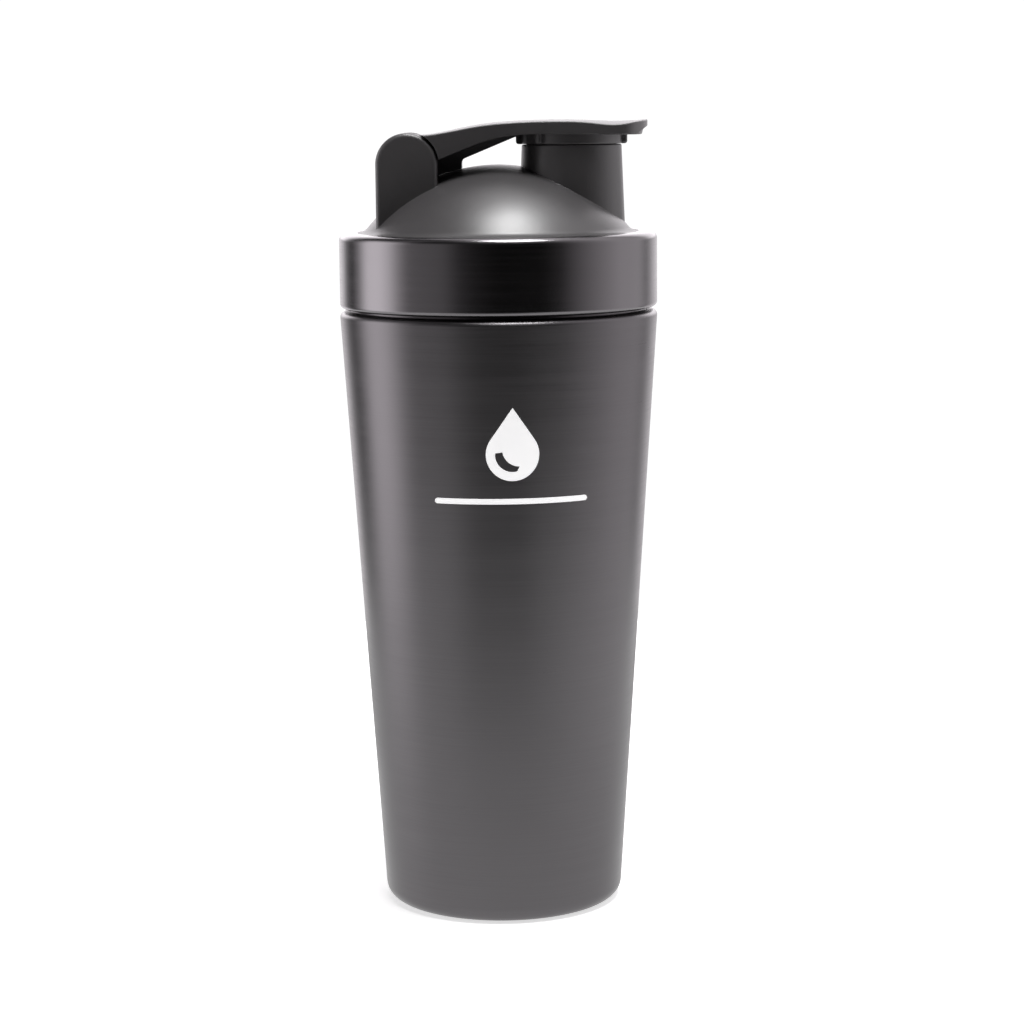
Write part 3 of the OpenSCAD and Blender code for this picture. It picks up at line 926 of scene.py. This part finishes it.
def cap_lip(sizes):
    """Smaller lip under the arm's tip, which leans back towards its lower edge."""
    low, high = 229.1 * MM, 232 * MM
    tip = CAP[1].x - sizes.lip_inset
    lip = slab("cap_lip", arm_plan(30 * MM, tip, sizes.lip_half, sizes.lip_length), 0, high - low)
    lay_flat(lip, low)
    bevel(lip, lambda a, b: max(a.z, b.z) < low + MM, 0.3 * MM, 3, clamp=False)
    for vertex in lip.data.vertices:
        share_left = (high - vertex.co.z) / (high - low)
        along = max(0, vertex.co.x - tip + sizes.lip_length) / sizes.lip_length
        vertex.co.x -= sizes.lip_lean * share_left * along
    return lip


def lay_flat(obj, z):
    """Turns a shape drawn in the XZ plane into the XY plane, standing up from height z."""
    for vertex in obj.data.vertices:
        x, y, up = vertex.co
        vertex.co = (x, up, z + y)
    face_outwards(obj)


def cap_pockets(sizes):
    """The two hollows under the arm, between its ribs and its web."""
    line = [p for p in arm_top(sizes.skin) if -17 * MM < p[0] < 7 * MM]
    points = line + [(7 * MM, 215 * MM), (-17 * MM, 215 * MM)]
    inner, outer = sizes.web / 2, CAP[1].y - sizes.rib
    return [slab("pocket", points, inner, outer), slab("pocket", points, -outer, -inner)]


def cap_web(sizes):
    """The web in the middle, behind the window under the arm."""
    points = [(HINGE.x, HINGE.z), (-22.5 * MM, 214 * MM), (-10.4 * MM, 214 * MM)]
    points += arc(-8.9 * MM, 221.2 * MM, 1.5 * MM, 180, 110, 6)
    points += [(4.7 * MM, 228.4 * MM), (12 * MM, 231 * MM), (-4 * MM, 231 * MM), (-20 * MM, 227.5 * MM)]
    return slab("cap_web", points, -sizes.web / 2, sizes.web / 2)


def cap_knuckle(lid, sizes):
    """The hinge barrel, fuller on its upper side than on its underside."""
    half = CAP[1].y - lid.ear_thickness - sizes.side_gap
    points = arc(HINGE.x, HINGE.z, sizes.knuckle_top, 0, 118, 24)
    points += arc(HINGE.x, HINGE.z, sizes.knuckle, 124, 360, 40)
    knuckle = slab("cap_knuckle", points, -half, half)
    bevel(knuckle, lambda a, b: abs(a.y - b.y) < MM, 0.4 * MM, 3)
    return knuckle


def cap_collar(sizes):
    """The ring that comes down over the spout, open below its roof."""
    roof = SEAL[1].z
    return turned_on_spout("cap_collar", [
        (0, roof, 0),
        (sizes.collar_bore, roof, 0),
        (sizes.collar_bore, sizes.collar_low, 0.25 * MM),
        (sizes.collar, sizes.collar_low, 0.35 * MM),
        (sizes.collar, sizes.collar_high, 0),
        (0, sizes.collar_high, 0)], 4)


def cap_lug(sizes, angle):
    """A small upright lug on the outside of the collar, at an angle in degrees."""
    turn = math.radians(angle)
    inner = sizes.collar_bore + 0.3 * MM
    middle = (sizes.lug + inner) / 2
    high = sizes.collar_high - 0.3 * MM
    bpy.ops.object.select_all(action="DESELECT")
    bpy.ops.mesh.primitive_cube_add(
        size=1,
        location=(SPOUT.x + middle * math.cos(turn), middle * math.sin(turn), (sizes.collar_low + high) / 2),
        rotation=(0, 0, turn),
        scale=(sizes.lug - inner, sizes.lug_width, high - sizes.collar_low))
    lug = bpy.context.object
    lug.name = "lug"
    bpy.ops.object.transform_apply()
    bevel(lug, lambda a, b: True, 0.8 * MM, 5)
    return lug


class SHAKER_OT_flip_cap(bpy.types.Operator):
    """Flip cap: arched arm with ribs, web, hinge barrel and spout collar with its lugs"""

    bl_idname = "shaker.flip_cap"
    bl_label = "Flip cap"

    def execute(self, context):
        sizes = context.scene.shaker_cap
        lid = context.scene.shaker_lid
        cap = cap_arm(sizes)
        for pocket in cap_pockets(sizes):
            combine(cap, pocket, "DIFFERENCE")
        for piece in (cap_lip(sizes), cap_web(sizes), cap_knuckle(lid, sizes), cap_collar(sizes)):
            combine(cap, piece, "UNION")
        for angle in LUG_ANGLES:
            combine(cap, cap_lug(sizes, angle), "UNION")
        ear_gap, dome_gap, pin_gap = 0.5 * MM, 0.45 * MM, 0.06 * MM
        ear = LID[1].z - HINGE.z + ear_gap
        inner = CAP[1].y - lid.ear_thickness - sizes.side_gap
        outer = CAP[1].y + MM
        combine(cap, rod("ear_room", ear, inner, outer), "DIFFERENCE")
        combine(cap, rod("ear_room", ear, -outer, -inner), "DIFFERENCE")
        centre = lid.dome_top - lid.dome_radius
        combine(cap, ball("dome_room", lid.dome_radius + dome_gap, centre), "DIFFERENCE")
        combine(cap, rod("pin_room", (PIN[1].z - PIN[0].z) / 2 + pin_gap, -outer, outer), "DIFFERENCE")
        cap.name = "cap_moulding"
        finish_piece(cap, "cap", "flip_cap", "black_plastic")
        return {"FINISHED"}


class SHAKER_OT_spout_seal(bpy.types.Operator):
    """Soft disc and plug that close the spout"""

    bl_idname = "shaker.spout_seal"
    bl_label = "Spout seal"

    def execute(self, context):
        scene = context.scene
        disc = SEAL[1].x - SPOUT.x
        plug = scene.shaker_lid.spout_bore - 0.8 * MM
        shelf = SEAL[1].z - 0.8 * MM
        seal = turned_on_spout("cap_seal", [
            (0, SEAL[0].z + 0.6 * MM, 0),
            (plug - 2.6 * MM, SEAL[0].z + 0.6 * MM, 0.4 * MM),
            (plug - 2 * MM, SEAL[0].z, 0.3 * MM),
            (plug, SEAL[0].z, 0.7 * MM),
            (plug, shelf, 0.3 * MM),
            (disc, shelf, 0.2 * MM),
            (disc, SEAL[1].z, 0.2 * MM),
            (0, SEAL[1].z, 0)], 5)
        finish_piece(seal, "cap", "spout_seal", "silicone")
        return {"FINISHED"}


class SHAKER_OT_mixing_ball(bpy.types.Operator):
    """Loose ball wound from one round wire"""

    bl_idname = "shaker.mixing_ball"
    bl_label = "Mixing ball"

    def execute(self, context):
        sizes = context.scene.shaker_cap
        middle = (BALL[0] + BALL[1]) / 2
        radius = (BALL[1].x - BALL[0].x) / 2 - sizes.wire
        steps = sizes.ball_turns * WIRE_STEPS
        pole = math.radians(80)
        places = []
        for i in range(steps + 1):
            tilt = -pole + 2 * pole * i / steps
            turn = math.tau * sizes.ball_turns * i / steps
            spoke = Vector((math.cos(tilt) * math.cos(turn), math.cos(tilt) * math.sin(turn), math.sin(tilt)))
            places.append(middle + radius * spoke)
        wire = outline("wire_ball", [(0, 0)] * len(places), is_open=True)
        for vertex, spot in zip(wire.data.vertices, places):
            vertex.co = spot
        make_active(wire)
        bpy.ops.object.convert(target="CURVE")
        wire = bpy.context.object
        wire.data.bevel_depth = sizes.wire
        wire.data.bevel_resolution = 4
        wire.data.use_fill_caps = True
        bpy.ops.object.convert(target="MESH")
        wire = bpy.context.object
        face_outwards(wire)
        finish_piece(wire, "ball", "mixing_ball", "bare_steel")
        return {"FINISHED"}


# Studio

def wall_light(scene):
    """Soft light from the walls: a dark front, a bright box on the left, a broad one on the right."""
    world = bpy.data.worlds.new("Studio_walls")
    scene.world = world
    world.use_nodes = True
    tree = world.node_tree
    tree.nodes.clear()
    parts = node(tree, "SeparateXYZ", {"Vector": node(tree, "TexCoord").outputs["Generated"]}).outputs
    turn = maths(tree, "ARCTAN2", parts[0], maths(tree, "MULTIPLY", parts[1], -1))
    around = maths(tree, "ADD", maths(tree, "DIVIDE", turn, math.tau), 0.5)
    ramp = node(tree, "ValToRGB", {"Fac": around})
    levels = [(-180, 0.42), (-160, 0.46), (-150, 0.42), (-141, 0.12), (-130, 0.02), (-120, 0.2), (-108, 0.82),
              (-94, 0.85), (-84, 0.62), (-76, 0.3), (-68, 0.13), (-40, 0.1), (-28, 0.03), (-16, 0.01), (0, 0),
              (32, 0), (46, 0.02), (60, 0.11), (82, 0.25), (98, 0.35), (121, 0.34), (134, 0.16), (150, 0.38),
              (180, 0.42)]
    elements = ramp.color_ramp.elements
    elements[0].position = 0
    elements[-1].position = 1
    for angle, level in levels[1:-1]:
        elements.new(0.5 + angle / 360)
    for element, (angle, level) in zip(elements, levels):
        element.color = (level * 1.02, level * 0.98, level * 1.01, 1)
    high = spread(tree, parts[2], 0, 1, from_low=0.35, from_high=0.65)
    leftward = spread(tree, parts[0], 1, 0, from_low=-0.35, from_high=0)
    dimming = maths(tree, "MULTIPLY", maths(tree, "MULTIPLY", high, leftward), 0.9)
    behind = spread(tree, parts[1], 0, 1, from_low=0.5, from_high=0.8)
    above = spread(tree, parts[2], 0, 1.1, from_low=0.03, from_high=0.12)
    gain = maths(tree, "ADD", maths(tree, "SUBTRACT", 1, dimming), maths(tree, "MULTIPLY", behind, above))
    strength = maths(tree, "MULTIPLY", gain, scene.shaker_studio.room)
    lit = node(tree, "Background", {"Color": ramp.outputs["Color"], "Strength": strength})
    plain = node(tree, "Background", {"Color": (1, 1, 1, 1), "Strength": 1.05})
    seen = node(tree, "LightPath").outputs["Is Camera Ray"]
    mixed = node(tree, "MixShader", {0: seen, 1: lit.outputs[0], 2: plain.outputs[0]})
    node(tree, "OutputWorld", {"Surface": mixed.outputs[0]})


def softbox(name, place_at, look_at, width, depth, power):
    """A soft rectangular light that looks at a point."""
    data = bpy.data.lights.new(name, "AREA")
    data.shape = "RECTANGLE"
    data.size = width
    data.size_y = depth
    data.energy = power
    lamp = bpy.data.objects.new(name, data)
    bpy.context.scene.collection.objects.link(lamp)
    lamp.location = place_at
    lamp.rotation_euler = (Vector(look_at) - Vector(place_at)).to_track_quat("-Z", "Y").to_euler()


def pale_floor(scene):
    """A round pale floor with a faint mottle, dimmer in reflections than it is to the eye."""
    bpy.ops.object.select_all(action="DESELECT")
    bpy.ops.mesh.primitive_circle_add(vertices=FLOOR_STEPS, radius=scene.shaker_studio.floor_radius,
                                      fill_type="NGON", location=(0, 0, -0.05 * MM))
    floor = bpy.context.object
    floor.name = "floor"
    bpy.ops.object.transform_apply()
    material, tree, shader = new_material("Pale_floor")
    cloud = noise(tree, place(tree), 8, detail=3)
    mottle(tree, shader, cloud, scene.shaker_finishes.floor, 0.99, 1)
    shader.inputs["Roughness"].default_value = 0.9
    shader.inputs["Specular IOR Level"].default_value = 0.1
    shader.inputs["Emission Color"].default_value = (1, 1, 1, 1)
    shader.inputs["Emission Strength"].default_value = 0.6
    parts, radius = place_parts(tree)
    bright = scene.shaker_studio.mirrored
    ahead = spread(tree, radius, bright, bright / 8, from_low=0.17, from_high=0.45)
    aside = spread(tree, maths(tree, "ABSOLUTE", parts[0]), 0, 1.15 * bright, from_low=0.06, from_high=0.2)
    mirrored = node(tree, "Emission", {"Strength": maths(tree, "MAXIMUM", ahead, aside)})
    reflected = node(tree, "LightPath").outputs["Is Glossy Ray"]
    mixed = node(tree, "MixShader", {0: reflected, 1: shader.outputs[0], 2: mirrored.outputs[0]})
    put(tree, tree.nodes["Material Output"].inputs["Surface"], mixed.outputs[0])
    floor.data.materials.append(material)


class SHAKER_OT_studio(bpy.types.Operator):
    """Pale floor, soft lights and the camera"""

    bl_idname = "shaker.studio"
    bl_label = "Studio"

    def execute(self, context):
        scene = context.scene
        studio = scene.shaker_studio
        data = bpy.data.cameras.new("Camera")
        data.lens = studio.lens
        data.sensor_width = SENSOR_WIDTH
        data.clip_start = 0.01
        camera = bpy.data.objects.new("Camera", data)
        scene.collection.objects.link(camera)
        camera.matrix_world = (Matrix.Translation(studio.eye)
                               @ Matrix.Rotation(math.pi / 2 - studio.pitch, 4, "X")
                               @ Matrix.Rotation(studio.roll, 4, "Z"))
        scene.camera = camera
        wall_light(scene)
        softbox("Top_softbox", (0.12, -0.17, 1.15), (0, 0, 0.1), 0.42, 0.36, studio.top_power)
        pale_floor(scene)
        scene.view_settings.view_transform = "Standard"
        return {"FINISHED"}


STEPS = (SHAKER_OT_cup_wall, SHAKER_OT_liner, SHAKER_OT_base, SHAKER_OT_print, SHAKER_OT_gasket,
         SHAKER_OT_band, SHAKER_OT_lid, SHAKER_OT_pin, SHAKER_OT_flip_cap, SHAKER_OT_spout_seal,
         SHAKER_OT_mixing_ball, SHAKER_OT_studio)
GROUPS = {"shaker_cup": ShakerCupSizes, "shaker_lid": ShakerLidSizes, "shaker_cap": ShakerCapSizes,
          "shaker_finishes": ShakerFinishes, "shaker_studio": ShakerStudio}


class SHAKER_PT_panel(bpy.types.Panel):
    """Lists the steps that build the bottle"""

    bl_idname = "SHAKER_PT_panel"
    bl_label = "Shaker Bottle"
    bl_space_type = "VIEW_3D"
    bl_region_type = "UI"
    bl_category = "Shaker"

    def draw(self, context):
        for step in STEPS:
            self.layout.operator(step.bl_idname)
        for name, group in GROUPS.items():
            box = self.layout.box()
            box.label(text=group.__doc__)
            for setting in group.__annotations__:
                box.prop(getattr(context.scene, name), setting)


def register():
    for group in GROUPS.values():
        bpy.utils.register_class(group)
    for name, group in GROUPS.items():
        setattr(bpy.types.Scene, name, bpy.props.PointerProperty(type=group))
    for step in STEPS:
        bpy.utils.register_class(step)
    bpy.utils.register_class(SHAKER_PT_panel)


def unregister():
    bpy.utils.unregister_class(SHAKER_PT_panel)
    for step in reversed(STEPS):
        bpy.utils.unregister_class(step)
    for name in GROUPS:
        delattr(bpy.types.Scene, name)
    for group in reversed(GROUPS.values()):
        bpy.utils.unregister_class(group)


def main():
    """Builds every piece and the studio."""
    register()
    for step in STEPS:
        group, action = step.bl_idname.split(".")
        getattr(getattr(bpy.ops, group), action)()


if __name__ == "__main__":
    main()
